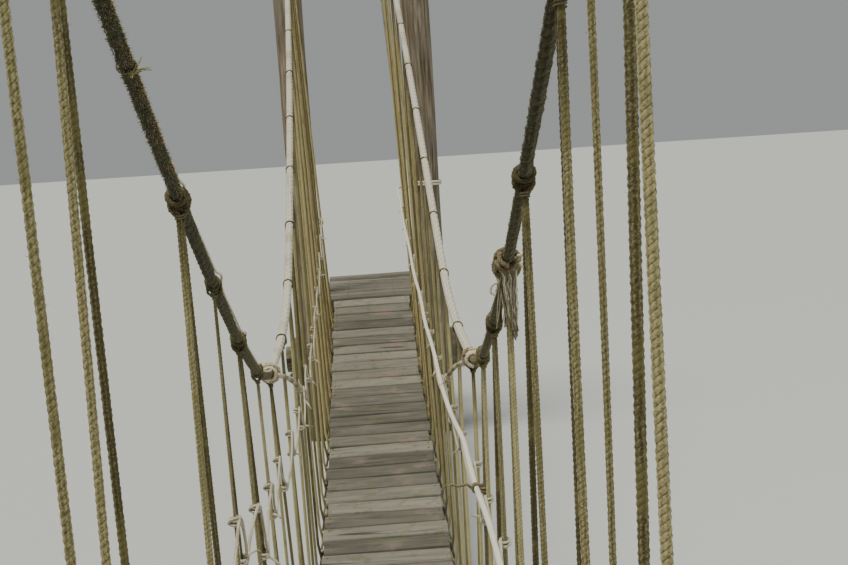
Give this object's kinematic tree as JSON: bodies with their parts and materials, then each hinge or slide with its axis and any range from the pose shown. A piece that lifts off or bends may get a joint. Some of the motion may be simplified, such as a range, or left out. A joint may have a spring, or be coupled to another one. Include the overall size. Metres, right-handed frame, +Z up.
{
  "type": "rope suspension footbridge",
  "caption": "Narrow rope suspension footbridge: weathered boards on foot ropes, hung from two sagging main ropes by knotted hanger ropes, between round log portals.",
  "frame": {"origin": "on the ground, under the middle of the span", "axes": "+Y along the walkway away from the viewer's end, +X to the right, +Z up"},
  "size_m": [2, 17.5632, 5.1121],
  "materials": {
    "mossy_rope": "rough twisted rope grown over with dry moss",
    "pale_rope": "sun-bleached twisted rope",
    "hanger_rope": "weathered olive-tan twisted rope",
    "deck_board": "grey weathered sawn boards",
    "log": "weathered round logs"
  },
  "bodies": {
    "root": {"main_rope_left_near": "mossy_rope", "main_rope_left_far": "pale_rope", "main_rope_right_near": "mossy_rope", "main_rope_right_far": "pale_rope", "net_left_1": "hanger_rope", "net_left_2": "hanger_rope", "net_left_3": "hanger_rope", "net_left_4": "hanger_rope", "net_left_5": "hanger_rope", "net_left_6": "hanger_rope", "net_right_1": "hanger_rope", "net_right_2": "hanger_rope", "net_right_3": "hanger_rope", "net_right_4": "hanger_rope", "net_right_5": "hanger_rope", "net_right_6": "hanger_rope", "join_knot_left": "pale_rope", "join_knot_right": "pale_rope", "frayed_knot_right": "mossy_rope", "deck_bay_1": "deck_board", "deck_bay_2": "deck_board", "deck_bay_3": "deck_board", "deck_bay_4": "deck_board", "deck_bay_5": "deck_board", "deck_bay_6": "deck_board", "foot_rope_left": "hanger_rope", "foot_rope_right": "hanger_rope", "hand_line_right": "pale_rope", "post_near_left": "log", "post_near_right": "log", "post_far_left": "log", "post_far_right": "log", "head_beam_near": "log", "head_beam_far": "log", "landing_frame_near": "log", "landing_frame_far": "log", "landing_deck_near": "deck_board", "landing_deck_far": "deck_board", "anchor_near": "log", "anchor_far": "log"}
  },
  "joints": []
}
